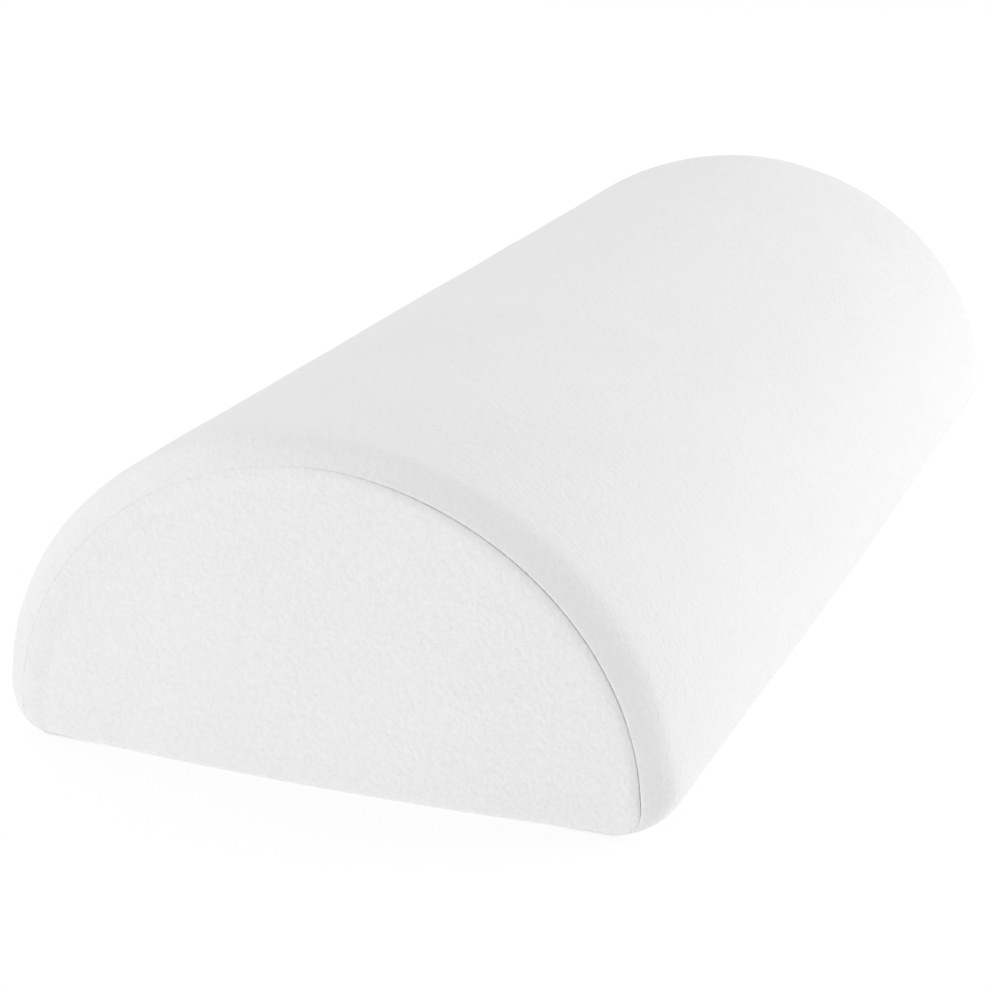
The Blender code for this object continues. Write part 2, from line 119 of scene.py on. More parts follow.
def left_side():
    """Normal angles down the left side, and their distances up it from the zip's middle."""
    angles = np.radians(np.linspace(90.0, 270.0, 3601))
    x, z = section(angles, 0.0, 0.0)
    run = np.concatenate([[0.0], np.cumsum(np.hypot(np.diff(x), np.diff(z)))])
    return angles, np.interp(ZIP_ANGLE, angles, run) - run


SIDE_ANGLES, SIDE_RUN = left_side()


def angle_at(v):
    """The normal angle at a distance up the left side from the zip's middle."""
    return np.interp(-np.asarray(v), -SIDE_RUN, SIDE_ANGLES)


def run_at(angles):
    """Distance up the left side from the zip's middle; far away on the right side."""
    return np.where(angles > math.pi / 2, np.interp(angles, SIDE_ANGLES, SIDE_RUN), 1.0)


def stations(arch_step, base_step, edges=()):
    """Angles from the right base corner over the arch to the left one, then base shares."""
    dense = np.radians(np.linspace(-90.0, 270.0, 7201))
    x, z = section(dense, 0.0, 0.0)
    run = np.concatenate([[0.0], np.cumsum(np.hypot(np.diff(x), np.diff(z)))])
    angles = np.interp(np.linspace(0, run[-1], int(run[-1] / arch_step) + 1), run, dense)
    if len(edges):
        exact = angle_at(edges)
        clear = np.abs(angles[:, None] - exact[None, :]).min(1) > 0.35 * arch_step / 0.05
        inside = (angles > exact.min()) & (angles < exact.max())
        keep = (clear & ~inside) | (angles <= angles[2])
        angles = np.sort(np.concatenate([angles[keep], exact]))
    span = int((WIDTH - 2 * BASE_CORNER) / base_step)
    return angles, np.linspace(0.0, 1.0, span + 1)[1:-1]


def ring(marks, depth, inset, y):
    """One closed outline in space at these stations."""
    angles, shares = marks
    x, z = section(angles, depth, inset)
    base_x = x[-1] + (x[0] - x[-1]) * shares
    x = np.concatenate([x, base_x])
    z = np.concatenate([z, np.full(len(shares), depth)])
    return np.stack([x, np.full(len(x), y), z], 1)


def rim_table(steep_run, steep):
    """Rolls and rises of a rolled rim, from how steeply its cloth turns along it."""
    slope = np.radians(np.interp(np.linspace(0.0, 1.0, 2001), steep_run, steep))
    middle = (slope[1:] + slope[:-1]) / 2
    inward = np.concatenate([[0.0], np.cumsum(np.cos(middle))])
    fallen = np.concatenate([[0.0], np.cumsum(np.sin(middle))])
    return 1 - inward / inward[-1], 1 - fallen / inward[-1]


# The crisp rim: shares of its length from the end's flat (0) to the body (1), and slopes in degrees
RIM_RUN = (0.0, 0.0434, 0.0697, 0.0776, 0.1000, 0.1474, 0.1895, 0.2697, 0.5263, 1.0)
RIM_STEEP = (5.0, 7.0, 30.0, 60.0, 46.0, 46.0, 80.0, 85.0, 87.5, 90.0)
CRISP_RIM = rim_table(RIM_RUN, RIM_STEEP)
PLAIN_ROLLS = 1 - np.cos(np.linspace(math.pi / 2, 0.0, 2001)) ** (2 / RIM_POWER)
PLAIN_RIM = PLAIN_ROLLS, (1 - (1 - PLAIN_ROLLS) ** RIM_POWER) ** (1 / RIM_POWER)
RIM_BLEND = 0.03  # how far behind the rim its slower fall is made up


def along_rim(table, depth, finish, distances):
    """Insets and Ys at these distances from the seam, towards the roll `finish`, and past the rim."""
    rolls, rises = (values[np.argsort(table[0])] for values in table)
    dense = np.unique(np.concatenate([rolls, [SEAM_ROLL]]))
    dense = dense[dense <= SEAM_ROLL][::-1] if finish == 0 else dense[dense >= SEAM_ROLL]
    inset = depth + (RIM_ROUND - depth) * dense
    y = RIM_Y - RIM_ROUND + (RIM_ROUND - depth) * np.interp(dense, rolls, rises)
    run = np.concatenate([[0.0], np.cumsum(np.hypot(np.diff(inset), np.diff(y)))])
    past = np.maximum(distances - run[-1], 0.0)
    return np.interp(distances, run, inset), np.interp(distances, run, y) - past, run[-1]


def crispness(marks, front):
    """How far each station has the crisp rim: the right and top of the front end do."""
    x, _, z = ring(marks, 0.0, 0.0, 0.0).T
    if not front:
        return np.zeros(len(x))
    return smooth((x + 0.035) / 0.050) * smooth((z - 0.004) / 0.022)


def rim_rings(marks, depth, finish, distances, front):
    """Rings at distances from the rear seam, mixing the plain rim and the crisp one."""
    share = crispness(marks, front)[:, None]
    plain_inset, plain_y, reach = along_rim(PLAIN_RIM, depth, finish, distances)
    crisp_inset, crisp_y, _ = along_rim(CRISP_RIM, depth, finish, distances)
    if finish == 0:
        own = 1 - smooth((distances - 2 * reach) / RIM_BLEND)
        crisp_y = plain_y + (crisp_y - plain_y) * own
    rings = []
    for k in range(len(distances)):
        plain = ring(marks, depth, plain_inset[k], plain_y[k])
        crisp = ring(marks, depth, crisp_inset[k], crisp_y[k])
        rings.append(plain + (crisp - plain) * share)
    return np.array(rings), reach


BODY_EDGE = (0.0, 0.00012, 0.0003, 0.0006, 0.001, 0.0015, 0.0022, 0.0032, 0.0046)
PANEL_EDGE = (0.0, 0.00012, 0.0003, 0.0006, 0.001, 0.0015, 0.0022, 0.0030)
PANEL_RIM_STEP = 0.0012
BASE_FOLD = 0.0018  # radius of the fold along an end's base edge


def edge_steps(reach, step, fine):
    """Distances from an edge, close together beside it and then evenly spaced to reach."""
    rest = np.linspace(fine[-1], reach, max(int((reach - fine[-1]) / step), 2) + 1)[1:]
    return np.concatenate([fine, rest])


def body_rings(marks, depth, step, cuts=()):
    """Rings of the sleeve from the front seam to the rear seam, with distances to the seam."""
    whole = 1.0 + along_rim(PLAIN_RIM, depth, 0, np.array([1.0]))[1][0]  # from the seam to y = 0
    distances = edge_steps(whole, step, BODY_EDGE)
    cuts = np.asarray(cuts)
    if len(cuts):
        exact = whole - cuts
        clear = np.abs(distances[:, None] - exact[None, :]).min(1) > 0.3 * step
        inside = (distances > exact.min()) & (distances < exact.max())
        distances = np.sort(np.concatenate([distances[clear & ~inside], exact]))
    front, _ = rim_rings(marks, depth, 0, distances, True)
    rear, _ = rim_rings(marks, depth, 0, distances, False)
    front[:, :, 1] *= -1
    return np.concatenate([front, rear[-2::-1]]), np.concatenate([distances, distances[-2::-1]])


def panel_rings(marks, depth, step, front):
    """Rings of an end panel, as at the rear, from its seam to the middle of its base edge."""
    reach = along_rim(CRISP_RIM if front else PLAIN_RIM, depth, 1, np.array([0.0]))[2]
    distances = edge_steps(reach, PANEL_RIM_STEP, PANEL_EDGE)
    rings, _ = rim_rings(marks, depth, 1, distances, front)
    height = HEIGHT - RIM_ROUND
    scales = np.concatenate([np.linspace(1.0, 0.06, int(height / step)), [0.03, 0.012]])[1:]
    crown = []
    for scale in scales:
        y = RIM_Y - depth + END_CROWN * (1 - scale * scale)
        outline = ring(marks, depth, RIM_ROUND, y)
        centre = np.array([0.0, y, depth])
        crown.append(centre + (outline - centre) * scale)
    reach = np.concatenate([distances, distances[-1] + (1 - scales) * height])
    rings = np.concatenate([rings, crown])
    low = np.clip(1 - (rings[:, :, 2] - depth) / BASE_FOLD, 0, 1)
    pull = BASE_FOLD * (1 - np.sqrt(1 - low**2)) * smooth(reach / 0.003)[:, None]
    rings[:, :, 1] -= pull
    return rings, reach


def whole_form(marks, depth, body_step, panel_step):
    """Rings over the whole closed form: front end, body and rear end."""
    body, _ = body_rings(marks, depth, body_step)
    rear, _ = panel_rings(marks, depth, panel_step, False)
    front = panel_rings(marks, depth, panel_step, True)[0][::-1]
    front[:, :, 1] *= -1
    return np.concatenate([front, body[1:-1], rear])


def smooth(share):
    """An even step from 0 to 1."""
    share = np.clip(share, 0.0, 1.0)
    return share * share * (3 - 2 * share)


# Mesh helpers

def normals(grid):
    """Outward unit normals of a grid of rings, closed round each ring."""
    around = np.roll(grid, -1, 1) - np.roll(grid, 1, 1)
    along = np.gradient(grid, axis=0)
    up = np.cross(around, along)
    up /= np.linalg.norm(up, axis=2, keepdims=True) + 1e-12
    middle = grid.mean((0, 1)) * [1, 0, 1]
    facing = (up * (grid - middle)).sum(2).mean()
    return up if facing > 0 else -up


def grid_faces(rows, columns, keep=None):
    """Quads between rings of points, closed round each ring."""
    i, j = np.meshgrid(np.arange(rows - 1), np.arange(columns), indexing="ij")
    k = (j + 1) % columns
    here, after = i * columns, (i + 1) * columns
    quads = np.stack([here + j, here + k, after + k, after + j], -1).reshape(-1, 4)
    return quads if keep is None else quads[keep.reshape(-1)]


def capped_faces(rows, columns):
    """Quads between rings, and fans to two more points that close the first and last ring."""
    faces = [tuple(f) for f in grid_faces(rows, columns)]
    first, last = rows * columns, (rows - 1) * columns
    for j in range(columns):
        k = (j + 1) % columns
        faces.append((first, k, j))
        faces.append((first + 1, last + j, last + k))
    return faces


def mesh_object(name, points, faces):
    data = bpy.data.meshes.new(name)
    data.from_pydata([tuple(p) for p in points], [], [tuple(int(v) for v in f) for f in faces])
    data.validate()
    data.shade_smooth()
    data.update()
    made = bpy.data.objects.new(name, data)
    bpy.context.scene.collection.objects.link(made)
    return made


def outward(made):
    """Turns every face of a closed mesh outward."""
    work = bmesh.new()
    work.from_mesh(made.data)
    bmesh.ops.recalc_face_normals(work, faces=work.faces)
    work.to_mesh(made.data)
    work.free()
    return made


def shell(name, outer, inner, faces):
    """A closed sheet between two layers of points with the same faces, walled at every edge."""
    count = len(outer)
    faces = [tuple(int(v) for v in f) for f in faces]
    used = {}
    for face in faces:
        for a, b in zip(face, face[1:] + face[:1]):
            key = (min(a, b), max(a, b))
            used[key] = None if key in used else (a, b)
    walls = [(b, a, a + count, b + count) for a, b in filter(None, used.values())]
    under = [tuple(v + count for v in reversed(f)) for f in faces]
    made = mesh_object(name, np.concatenate([outer, inner]), faces + under + walls)
    loose = set(range(2 * count)) - {v for f in faces + under for v in f}
    if loose:
        work = bmesh.new()
        work.from_mesh(made.data)
        work.verts.ensure_lookup_table()
        bmesh.ops.delete(work, geom=[work.verts[v] for v in loose], context="VERTS")
        work.to_mesh(made.data)
        work.free()
    return outward(made)


def waves(points, size, seed, octaves=2):
    """Smooth noise from -1 to 1 with features of about this size."""
    shift = Vector((seed * 7.31, seed * 3.17, seed * 5.71))
    found = [noise.fractal(Vector(p) / size + shift, 1.0, 2.0, octaves) for p in points.reshape(-1, 3)]
    return np.array(found).reshape(points.shape[:-1])


def tuck(distance, reach, depth, fullness=1.0):
    """How far cloth has turned in at this distance from the edge it is sewn along."""
    share = np.clip(1 - distance / (reach * fullness), 0, 1)
    return depth * fullness * (1 - np.sqrt(1 - share**2))


def seam_fullness(grid, front):
    """How deep the seam's crease is round an end: almost flat on the front's left and low right."""
    if not front:
        return np.ones(grid.shape[:-1])
    left = smooth((0.047 - grid[..., 0]) / 0.057) * smooth(grid[..., 2] / 0.004)
    low_right = smooth((0.011 - grid[..., 2]) / 0.007) * smooth(grid[..., 0] / 0.02)
    return 1 - 0.94 * np.maximum(left, 0.9 * low_right)


# Cloth simulation: the whole cover swells a little between its seams

VOXEL = 0.006
FORM_DEPTH = 0.001  # the simulated form starts this far inside the cover's face
FORM_STEP = 0.007
SETTLE_STEPS = 20
MOST_SWELL = 0.003
MEAN_SWELL = 0.0010
NEAREST = 6  # simulated points averaged for each point of a panel


def settle_cover():
    """Displacements of the cover's face, from a cloth simulation under light pressure."""
    rings = whole_form(stations(0.006, 0.008), FORM_DEPTH, FORM_STEP, FORM_STEP)
    ends = [[0, rings[k, 0, 1], FORM_DEPTH] for k in (0, -1)]
    points = np.concatenate([rings.reshape(-1, 3), ends])
    form = outward(mesh_object("cover_form", points, capped_faces(*rings.shape[:2])))
    remesh = form.modifiers.new("voxels", "REMESH")
    remesh.mode = "VOXEL"
    remesh.voxel_size = VOXEL
    apply_all(form)
    start = vertex_array(form.data)
    seam_y = along_rim(PLAIN_RIM, 0.0, 0, np.zeros(1))[1][0]
    pinned = form.vertex_groups.new(name="held")
    for index, (_, y, z) in enumerate(start):
        at_seam = math.exp(-((abs(y) - seam_y) / 0.005) ** 2)
        at_base = 1.0 if z < 0.004 else 0.0
        pinned.add([index], max(at_seam, at_base), "REPLACE")
    cloth = form.modifiers.new("cloth", "CLOTH")
    settings = cloth.settings
    settings.quality = 5
    settings.mass = 0.3
    settings.tension_stiffness = settings.compression_stiffness = 25
    settings.bending_stiffness = 1.5
    settings.use_pressure = True
    settings.uniform_pressure_force = 4
    settings.vertex_group_mass = "held"
    settings.effector_weights.gravity = 0
    cloth.point_cache.frame_start, cloth.point_cache.frame_end = 1, SETTLE_STEPS
    scene = bpy.context.scene
    for step in range(1, SETTLE_STEPS + 1):
        scene.frame_set(step)
    graph = bpy.context.evaluated_depsgraph_get()
    moved = vertex_array(form.evaluated_get(graph).to_mesh())
    scene.frame_set(1)
    bpy.data.objects.remove(form)
    return start, moved - start


def vertex_array(mesh):
    found = np.empty(len(mesh.vertices) * 3, np.float64)
    mesh.vertices.foreach_get("co", found)
    return found.reshape(-1, 3)


def apply_all(made):
    """Applies every modifier of an object to its mesh."""
    graph = bpy.context.evaluated_depsgraph_get()
    result = bpy.data.meshes.new_from_object(made.evaluated_get(graph))
    made.modifiers.clear()
    old, made.data = made.data, result
    bpy.data.meshes.remove(old)
    made.data.shade_smooth()


def settled(points):
    """How much further than the mean the simulation moved the cover's face out at these points."""
    if SETTLED is None:
        return np.zeros(points.shape[:-1])
    tree, values = SETTLED
    flat = points.reshape(-1, 3)
    found = np.empty(len(flat))
    for index, point in enumerate(flat):
        near = tree.find_n(Vector(point), NEAREST)
        weights = np.array([1 / (d * d + 4e-6) for _, _, d in near])
        found[index] = (values[[k for _, k, _ in near]] * weights).sum() / weights.sum()
    return found.reshape(points.shape[:-1])


def swell_lookup():
    """The simulation's points, and how far past the mean each moved outward."""
    start, shift = settle_cover()
    length = np.linalg.norm(shift, axis=1)
    centre = np.zeros_like(start)
    centre[:, 1] = np.clip(start[:, 1], -0.15, 0.15)
    centre[:, 2] = 0.03
    sign = np.sign((shift * (start - centre)).sum(1))
    amount = np.clip(sign * length, -MOST_SWELL, MOST_SWELL) - MEAN_SWELL
    tree = kdtree.KDTree(len(start))
    for index, point in enumerate(start):
        tree.insert(Vector(point), index)
    tree.balance()
    return tree, amount


# Materials

def add_noise(tree, where, scale, detail=2.0):
    """Noise of this many features per metre."""
    texture = tree.nodes.new("ShaderNodeTexNoise")
    texture.inputs["Scale"].default_value = scale
    texture.inputs["Detail"].default_value = detail
    tree.links.new(where, texture.inputs["Vector"])
    return texture.outputs["Fac"]


def paint(name, light, dark, roughness, patch, sheen, grain, weave=None, coat=0.0, mottle=None):
    """A material with mottled colour and layered bump.

    light and dark are the two tones of patches at scale patch, grain is rows of (scale, strength,
    distance), weave is what add_weave takes, and mottle is (scale, depth) of a fine dimming.
    """
    made = bpy.data.materials.new(name)
    made.use_nodes = True
    tree = made.node_tree
    shader = tree.nodes["Principled BSDF"]
    link = tree.links.new
    where = tree.nodes.new("ShaderNodeTexCoord").outputs["Object"]
    patches = add_noise(tree, where, patch, 4.0)
    ramp = tree.nodes.new("ShaderNodeValToRGB")
    ramp.color_ramp.elements[0].position = 0.3
    ramp.color_ramp.elements[0].color = (*dark, 1)
    ramp.color_ramp.elements[1].position = 0.7
    ramp.color_ramp.elements[1].color = (*light, 1)
    link(patches, ramp.inputs["Fac"])
    colour = ramp.outputs["Color"]
    if mottle:
        scale, amount = mottle
        level = tree.nodes.new("ShaderNodeMapRange")
        level.inputs["From Min"].default_value = 0.3
        level.inputs["From Max"].default_value = 0.7
        level.inputs["To Min"].default_value = 1.0 - amount
        level.inputs["To Max"].default_value = 1.0
        link(add_noise(tree, where, scale), level.inputs["Value"])
        mix = tree.nodes.new("ShaderNodeVectorMath")
        mix.operation = "SCALE"
        link(colour, mix.inputs[0])
        link(level.outputs["Result"], mix.inputs["Scale"])
        colour = mix.outputs["Vector"]
    link(colour, shader.inputs["Base Color"])
    shader.inputs["Roughness"].default_value = roughness
    shader.inputs["Sheen Weight"].default_value = sheen
    shader.inputs["Sheen Roughness"].default_value = 0.45
    shader.inputs["Coat Weight"].default_value = coat
    shader.inputs["Coat Roughness"].default_value = 0.12
    previous = None
    for scale, strength, distance in grain:
        previous = add_bump(tree, add_noise(tree, where, scale), strength, distance, previous)
    if weave:
        previous = add_weave(tree, where, weave, previous)
    if previous:
        link(previous, shader.inputs["Normal"])
    return made


def add_bump(tree, height, strength, distance, previous):
    """A bump on top of the one before it."""
    bump = tree.nodes.new("ShaderNodeBump")
    bump.inputs["Strength"].default_value = strength
    bump.inputs["Distance"].default_value = distance
    tree.links.new(height, bump.inputs["Height"])
    if previous:
        tree.links.new(previous, bump.inputs["Normal"])
    return bump.outputs["Normal"]


def add_weave(tree, where, weave, previous):
    """Crossed ribs: weave is (ribs per metre, angles of the two sets, bump distance)."""
    scale, turns, distance = weave
    for turn in turns:
        place = tree.nodes.new("ShaderNodeMapping")
        place.inputs["Rotation"].default_value = turn
        tree.links.new(where, place.inputs["Vector"])
        ribs = tree.nodes.new("ShaderNodeTexWave")
        ribs.inputs["Scale"].default_value = scale
        ribs.inputs["Distortion"].default_value = 0.6
        ribs.inputs["Detail"].default_value = 1.0
        tree.links.new(place.outputs["Vector"], ribs.inputs["Vector"])
        previous = add_bump(tree, ribs.outputs["Fac"], 0.6, distance, previous)
    return previous


def grey(level, warmth=0.0):
    """A neutral tone, or one with a little less blue."""
    return level, level, level - warmth


VELOUR_TONES = grey(0.885), grey(0.868)

velour = paint(
    "velour_pile", *VELOUR_TONES, 0.92, 22, 0.15,
    [(640, 0.55, 0.0008), (2300, 0.3, 0.0003)], mottle=(700, 0.03))
end_velour = paint(
    "velour_pile_end", *VELOUR_TONES, 0.92, 18, 0.15,
    [(640, 0.5, 0.0009), (2300, 0.35, 0.0003)], mottle=(700, 0.045))
thread_paint = paint(
    "thread_polyester", grey(0.9, 0.01), grey(0.84, 0.01), 0.6, 900, 0.1, [(5200, 0.5, 0.0001)])
knit_paint = paint(
    "knit_jersey", grey(0.87, 0.01), grey(0.83, 0.01), 0.85, 40, 0.1,
    [(1500, 0.3, 0.0002)], (420, ((0, 0, 0.785), (0, 0.785, -0.785)), 0.0003))
foam_paint = paint(
    "foam_open_cell", (0.90, 0.89, 0.84), (0.84, 0.82, 0.75), 0.95, 300, 0.0,
    [(700, 0.8, 0.0008), (2100, 0.6, 0.0004)], mottle=(1300, 0.1))
tape_paint = paint(
    "zip_tape_twill", grey(0.83), grey(0.79), 0.8, 120, 0.1,
    [(4200, 0.3, 0.0001)], (900, ((0, 0, 0.7), (0, 0.7, -0.7)), 0.00012))
nylon_paint = paint(
    "zip_nylon_coil", grey(0.88, 0.01), grey(0.85, 0.01), 0.35, 600, 0.0, [(2600, 0.15, 0.00006)])
enamel_paint = paint(
    "zip_enamel", grey(0.86), grey(0.84), 0.28, 300, 0.0, [(900, 0.08, 0.00012)], coat=0.4)
label_paint = paint(
    "label_satin_weave", grey(0.93, 0.01), grey(0.90, 0.01), 0.42, 200, 0.2,
    [(3800, 0.2, 0.00008)], (1400, ((0, 0.785, 0), (0.785, 0, 0)), 0.00008))
floor_paint = paint("floor_white", grey(0.30), grey(0.29), 0.9, 3, 0.0, [(60, 0.02, 0.001)])


def place(made, material, body, slot, *replaced):
    """Finishes a piece: its material, the body it moves with and what it stands for; slot, its finish,
    is not used.
    """
    made.data.materials.clear()
    made.data.materials.append(material)
    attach(made, body)
    if replaced:
        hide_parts(*replaced)
    return made


# The cover and the liner

PUCKERS = [(int(n), rng.uniform(0, 6.28)) for n in rng.integers(28, 46, 5)]


def pucker(turn, reach, amount):
    """Small gathers beside a seam; turn is the angle round the end."""
    height = sum(np.sin(n * turn + phase) for n, phase in PUCKERS) / len(PUCKERS)
    return amount * height * smooth(1 - reach / 0.016) * smooth(reach / 0.0015)


def around(points):
    """The angle of each point round the end, about a centre low on the middle line."""
    return np.arctan2(points[..., 2] - 0.02, points[..., 0])


SWELL_SHARE = 0.3  # how much of the simulation's swell the cover shows


def soften(grid, reach, seed, gather):
    """Outward offsets of a cover panel: what the cloth settled to, slow dents and gathers."""
    free = smooth((reach - 0.001) / 0.030)[:, None] * smooth((grid[:, :, 2] - 0.001) / 0.012)
    dents = waves(grid, 0.055, seed) * 0.00035 + waves(grid, 0.022, seed + 3, 1) * 0.00010
    gathers = pucker(around(grid), reach[:, None], gather) * smooth(grid[:, :, 2] / 0.01)
    return free * (dents + SWELL_SHARE * settled(grid)) + gathers


BULGE = 0.0014


def bulge(grid):
    """The right side's low bulge, highest at mid length."""
    x, y, z = np.moveaxis(grid, -1, 0)
    along = np.cos(np.clip(y / 0.21, -1, 1) * math.pi / 2) ** 2
    low = smooth(z / 0.001) * smooth((0.045 - z) / 0.03)
    return BULGE * along * smooth((x - 0.06) / 0.03) * low


WRAP_TUCK = 0.0017
PANEL_TUCK = 0.0042
HEM_TUCK = 0.0013
SLOT_STEPS = np.array([0.0, 0.00015, 0.0004, 0.0008, 0.0013, 0.002, 0.003, 0.0045])
SLOT_MARKS = SLOT_HALF + SLOT_STEPS
SLOT_CUTS = np.concatenate([SLOT_END + SLOT_STEPS[::-1], [SLOT_END - 0.0015, SLOT_END - 0.004]])


def make_wrap(name, depth, thickness, step, material, slot, node, slotted):
    """The sleeve of the cover, with the zip's slot, or of the liner, without one."""
    edges = np.concatenate([SLOT_MARKS[::-1], -SLOT_MARKS]) if slotted else ()
    marks = stations(step, step * 1.8, edges)
    grid, reach = body_rings(marks, depth, step * 1.3, SLOT_CUTS if slotted else ())
    facing = normals(grid)
    rows, columns = grid.shape[:2]
    fullness = np.where(grid[:, :, 1] < 0, seam_fullness(grid, True), 1.0)
    down = tuck(reach[:, None], WRAP_TUCK, thickness * 0.3, fullness)
    keep = None
    lift = np.zeros((rows, columns))
    if slotted:
        beside = np.maximum(np.abs(zip_distances(marks))[None, :] - SLOT_HALF, 0)
        beyond = np.maximum(np.abs(grid[:, :, 1]) - SLOT_END, 0)
        from_slot = np.hypot(beside, beyond)
        down = np.maximum(down, tuck(from_slot, HEM_TUCK, HEM_TUCK))
        lift = 0.0003 * np.exp(-((from_slot - 0.0042) / 0.0016) ** 2)  # the hem's doubled edge
        within = from_slot < 1e-7
        inside = within & np.roll(within, -1, 1)
        keep = ~(inside[:-1] & inside[1:])
        lift += soften(grid, reach, 2, 0.00020) + bulge(grid)
    outer = grid + facing * (lift - down)[:, :, None]
    outer[:, :, 2] = np.maximum(outer[:, :, 2], 0)
    inner = grid - facing * thickness
    made = shell(name, outer.reshape(-1, 3), inner.reshape(-1, 3), grid_faces(rows, columns, keep))
    return place(made, material, "root", slot, node)


def make_panel(name, depth, thickness, step, material, slot, node, front, soft):
    """A half-moon end of the cover, which is soft, or of the liner."""
    marks = stations(step, step * 1.4)
    grid, reach = panel_rings(marks, depth, step, front)
    facing = normals(grid)
    down = tuck(reach[:, None], PANEL_TUCK, thickness * 0.7, seam_fullness(grid, front))
    lift = soften(grid, reach, 11 if front else 17, 0.00025) if soft else 0
    outer = grid + facing * (lift - down)[:, :, None]
    inner = grid - facing * thickness
    outer[:, :, 2] = np.maximum(outer[:, :, 2], 0)
    inner[:, :, 2] = np.maximum(inner[:, :, 2], depth)
    rows, columns = grid.shape[:2]
    tip = len(outer.reshape(-1, 3))
    outer = np.concatenate([outer.reshape(-1, 3), outer[-1:].mean(1)])
    inner = np.concatenate([inner.reshape(-1, 3), inner[-1:].mean(1)])
    faces = [tuple(f) for f in grid_faces(rows, columns)]
    last = (rows - 1) * columns
    faces += [(last + j, last + (j + 1) % columns, tip) for j in range(columns)]
    if front:
        outer[:, 1] *= -1
        inner[:, 1] *= -1
    made = shell(name, outer, inner, faces)
    return place(made, material, "root", slot, node)


def zip_distances(marks):
    """How far each station is from the zip's middle line; far away off the left side."""
    return np.concatenate([run_at(marks[0]), np.full(len(marks[1]), 1.0)])


def make_foam():
    """The foam block, with a shallow relief behind the zip and open cells on its face."""
    marks = stations(0.004, 0.008)
    rings = whole_form(marks, FOAM_DEPTH, 0.006, 0.006)
    beside = 1 - smooth((np.abs(zip_distances(marks)) - POCKET) / 0.012)
    pocket = beside[None, :] * (1 - smooth((np.abs(rings[:, :, 1]) - POCKET_END) / 0.010))
    cells = waves(rings, 0.006, 31, 3) * 0.00015 - 0.0001
    rings = rings + normals(rings) * (np.minimum(cells, 0) - 0.0032 * pocket)[:, :, None]
    points = np.concatenate([rings.reshape(-1, 3), rings[:1].mean(1), rings[-1:].mean(1)])
    made = outward(mesh_object("foam_block", points, capped_faces(*rings.shape[:2])))
    return place(made, foam_paint, "root", "foam", "foam_core")


# Threads

def tubes(name, paths, radius, sides=6):
    """Round strands along paths of points, slimmer and closed at both ends."""
    points, faces = [], []
    for path in paths:
        path = np.asarray(path, float)
        along = np.gradient(path, axis=0)
        along /= np.linalg.norm(along, axis=1, keepdims=True) + 1e-12
        aside = np.cross(along, [0.13, 0.27, 0.95])
        weak = np.linalg.norm(aside, axis=1) < 0.2
        aside[weak] = np.cross(along[weak], [1, 0, 0])
        aside /= np.linalg.norm(aside, axis=1, keepdims=True)
        over = np.cross(along, aside)
        size = np.full(len(path), radius)
        size[0] = size[-1] = radius * 0.55
        start = len(points)
        for k in range(sides):
            turn = 2 * math.pi * k / sides
            points.extend(path + (aside * math.cos(turn) + over * math.sin(turn)) * size[:, None])
        count = len(path)
        for k in range(sides):
            a, b = start + k * count, start + ((k + 1) % sides) * count
            faces.extend((a + i, a + i + 1, b + i + 1, b + i) for i in range(count - 1))
        faces.append([start + k * count for k in range(sides)])
        faces.append([start + k * count + count - 1 for k in reversed(range(sides))])
    return outward(mesh_object(name, points, faces))


def stitches(path, facing, length, gap, sink):
    """Short bowed strands along a path, each dipping into the cloth at its ends."""
    run = np.concatenate([[0], np.cumsum(np.linalg.norm(np.diff(path, axis=0), axis=1))])
    found = []
    at = gap / 2
    while at + length <= run[-1]:
        spots = at + length * np.linspace(0, 1, 7)
        middle = np.stack([np.interp(spots, run, path[:, k]) for k in range(3)], 1)
        up = np.stack([np.interp(spots, run, facing[:, k]) for k in range(3)], 1)
        dip = sink * (np.abs(np.linspace(-1, 1, 7)) ** 4)
        found.append(middle - up * dip[:, None])
        at += length + gap
    return found


def seam_paths(depth, thickness, front):
    """Stitches deep in an end seam, between the sleeve and the end panel."""
    marks = stations(0.002, 0.003)
    grid, _ = rim_rings(marks, depth, 0, np.array([0.0, 0.0003, 0.0006]), front)
    line, facing = grid[0], normals(grid)[0]
    line = line - facing * thickness * 0.85
    line = np.concatenate([line, line[:1]])
    facing = np.concatenate([facing, facing[:1]])
    if front:
        line[:, 1] *= -1
        facing[:, 1] *= -1
    return stitches(line, facing, STITCH, 0.0006, 0.0003)


def wall(v, height):
    """A point over the left side of the cover: v up from the zip's middle, height off its face."""
    angle = np.atleast_1d(angle_at(v))
    x, z = section(angle, 0.0, 0.0)
    return np.array([x[0] + height * np.cos(angle[0]), 0.0, z[0] + height * np.sin(angle[0])])


ZIP_X, ZIP_Z = (float(s[0]) for s in section(np.array([ZIP_ANGLE]), 0.0, 0.0))
ZIP_OUT = np.array([math.cos(ZIP_ANGLE), 0.0, math.sin(ZIP_ANGLE)])
ZIP_UP = np.array([math.sin(ZIP_ANGLE), 0.0, -math.cos(ZIP_ANGLE)])


def zip_points(rows):
    """Points given as (up the wall, along, outward) from the zip's middle."""
    rows = np.asarray(rows, float)
    origin = np.array([ZIP_X, 0.0, ZIP_Z])
    along = np.array([0.0, 1.0, 0.0])
    return origin + rows[:, :1] * ZIP_UP + rows[:, 1:2] * along + rows[:, 2:] * ZIP_OUT


# The zip

